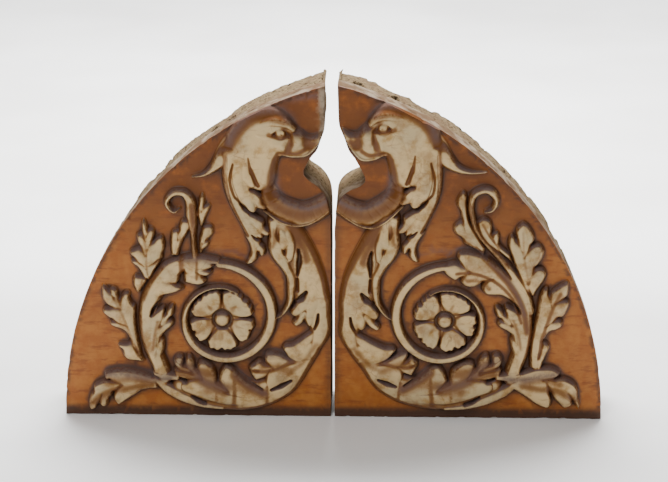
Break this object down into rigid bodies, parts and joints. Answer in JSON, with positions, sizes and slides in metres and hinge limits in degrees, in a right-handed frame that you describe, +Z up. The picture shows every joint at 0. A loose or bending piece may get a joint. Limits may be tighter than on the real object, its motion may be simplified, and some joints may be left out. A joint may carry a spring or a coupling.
{
  "type": "terracotta lunette",
  "caption": "Round-headed terracotta lunette in two pressed blocks, each carved with a beast's head whose acanthus body rolls into a volute round a flower.",
  "frame": {"origin": "under the middle of the object, on the plane that both blocks stand on, in the open joint between them", "axes": "+X to the right along the base, +Y from the carved face to the back, +Z up"},
  "size_m": [1.097, 0.1827, 0.6985],
  "materials": {
    "terracotta": "satin glaze, worn, over fired clay"
  },
  "bodies": {
    "root": {"left_half_block": "terracotta", "right_half_block": "terracotta"}
  },
  "joints": []
}
